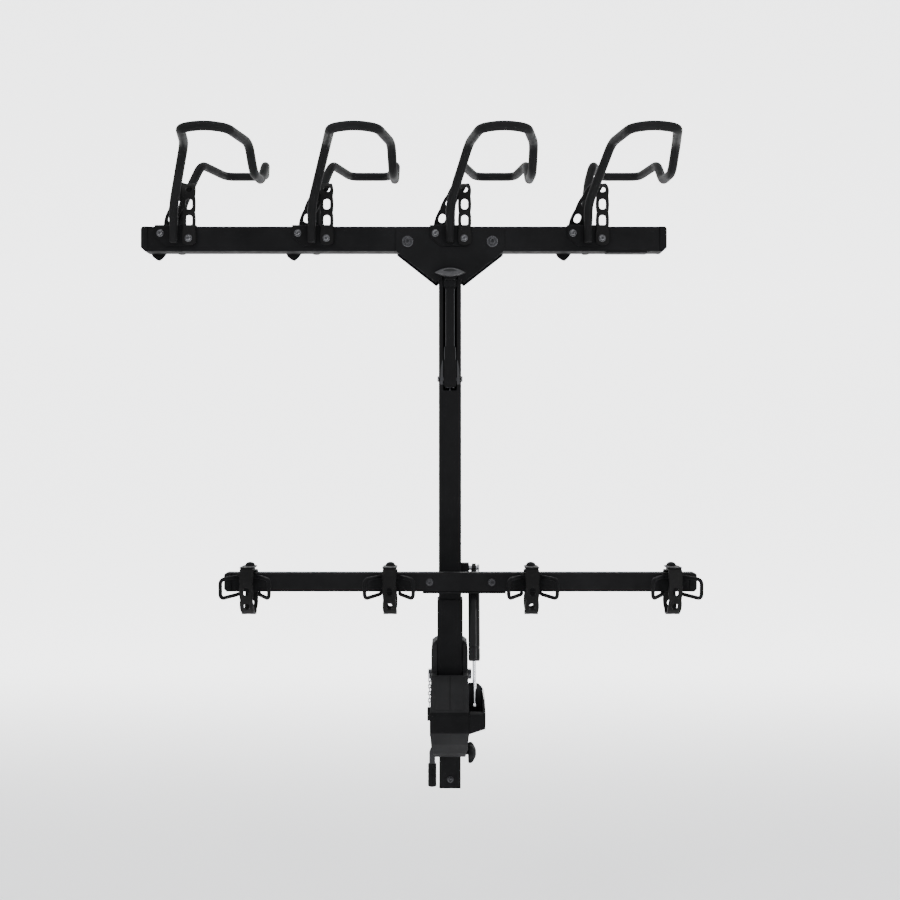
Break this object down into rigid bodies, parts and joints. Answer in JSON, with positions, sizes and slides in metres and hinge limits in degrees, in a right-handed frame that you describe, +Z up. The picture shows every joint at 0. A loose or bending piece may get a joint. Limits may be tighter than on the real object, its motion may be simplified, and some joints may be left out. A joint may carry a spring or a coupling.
{
  "type": "hitch mounted bike rack",
  "caption": "Hanging bike rack for a square hitch: tilting mast with damper, upper bar of bent-tube wheel baskets and lower bar of strap wheel holders.",
  "frame": {"origin": "centre of the hitch shank's vehicle-side end face", "axes": "+X right seen from behind the vehicle, +Y towards the vehicle along the shank, +Z up along the upright mast"},
  "size_m": [1.3227, 0.5036, 1.6105],
  "materials": {
    "powder_coat": "satin black powder coat",
    "coated_tube": "matte black vinyl coating over bent steel tube",
    "strap_rubber": "matte moulded rubber",
    "housing_plastic": "charcoal textured moulding",
    "cap_plastic": "black moulded plastic",
    "lever_plastic": "smooth dark grey moulding",
    "zinc_hardware": "dark zinc plate",
    "bright_chain": "bright zinc plate",
    "chrome_rod": "polished"
  },
  "bodies": {
    "base": {"hitch_shank": "powder_coat", "shank_end_plug": "cap_plastic", "yoke_left": "powder_coat", "yoke_right": "powder_coat", "housing_left": "housing_plastic", "housing_right": "housing_plastic", "damper_pocket": "housing_plastic", "pivot_bolt": "zinc_hardware", "pivot_nut": "zinc_hardware", "latch_cam": "zinc_hardware", "tether_chain": "bright_chain"},
    "mast": {"lower_sleeve": "powder_coat", "mast_tube": "powder_coat", "gusset_front": "powder_coat", "gusset_rear": "powder_coat", "gusset_bolt_left": "zinc_hardware", "gusset_bolt_right": "zinc_hardware", "lever_pin": "zinc_hardware", "damper_stud": "powder_coat", "upper_bar": "powder_coat", "upper_bar_cap_left": "cap_plastic", "upper_bar_cap_right": "cap_plastic", "lower_bar": "powder_coat", "lower_bar_cap_left": "cap_plastic", "lower_bar_cap_right": "cap_plastic", "lower_bar_bracket": "powder_coat", "saddle_bracket_1": "powder_coat", "wheel_basket_1": "coated_tube", "wheel_strap_1": "strap_rubber", "saddle_bracket_2": "powder_coat", "wheel_basket_2": "coated_tube", "wheel_strap_2": "strap_rubber", "saddle_bracket_3": "powder_coat", "wheel_basket_3": "coated_tube", "wheel_strap_3": "strap_rubber", "saddle_bracket_4": "powder_coat", "wheel_basket_4": "coated_tube", "wheel_strap_4": "strap_rubber", "holder_wire_1": "powder_coat", "holder_strap_1": "strap_rubber", "holder_knob_1": "cap_plastic", "holder_wire_2": "powder_coat", "holder_strap_2": "strap_rubber", "holder_knob_2": "cap_plastic", "holder_wire_3": "powder_coat", "holder_strap_3": "strap_rubber", "holder_knob_3": "cap_plastic", "holder_wire_4": "powder_coat", "holder_strap_4": "strap_rubber", "holder_knob_4": "cap_plastic"},
    "release_lever": {"release_lever": "lever_plastic"},
    "latch": {"pull_rod": "zinc_hardware"},
    "damper_cylinder": {"damper_cylinder": "powder_coat"},
    "damper_rod": {"damper_rod": "chrome_rod", "damper_anchor_pin": "zinc_hardware"},
    "tension_knob": {"tension_knob": "cap_plastic"},
    "safety_knob": {"safety_knob": "cap_plastic"},
    "hitch_pin": {"hitch_pin": "zinc_hardware"}
  },
  "joints": [
    {"name": "mast_tilt", "type": "hinge", "parent": "base", "child": "mast", "pos_m": [0, -0.26, 0.234], "axis": [1, 0, 0], "range_deg": [0, 50]},
    {"name": "damper_swing", "type": "hinge", "parent": "mast", "child": "damper_cylinder", "pos_m": [0.0578, -0.26, 0.491], "axis": [-1, 0, 0], "range_deg": [0, 8.2]},
    {"name": "damper_slide", "type": "slide", "parent": "damper_cylinder", "child": "damper_rod", "axis": [0, 0.2433, 0.97], "range_m": [0, 0.0733]},
    {"name": "lever_pull", "type": "hinge", "parent": "mast", "child": "release_lever", "pos_m": [0, -0.277, 0.948], "axis": [1, 0, 0], "range_deg": [0, 12], "stiffness_Nm_per_rad": 1.2, "springref_deg": -14.32},
    {"name": "latch_lift", "type": "slide", "parent": "mast", "child": "latch", "axis": [0, 0, 1], "range_m": [0, 0.0058]},
    {"name": "tension_knob_turn", "type": "hinge", "parent": "base", "child": "tension_knob", "pos_m": [0.0436, -0.284, 0.05], "axis": [1, 0, 0], "continuous": true},
    {"name": "safety_knob_turn", "type": "hinge", "parent": "base", "child": "safety_knob", "pos_m": [-0.045, -0.3, 0.147], "axis": [1, 0, 0], "range_deg": [0, 90]},
    {"name": "hitch_pin_pull", "type": "slide", "parent": "base", "child": "hitch_pin", "axis": [-1, 0, 0], "range_m": [0, 0.12]}
  ],
  "couplings": [
    {"joint": "damper_swing", "follows": "mast_tilt", "ratio": 0.16164},
    {"joint": "damper_slide", "follows": "mast_tilt", "m_per_rad": 0.082902},
    {"joint": "latch_lift", "follows": "lever_pull", "m_per_rad": 0.027}
  ]
}
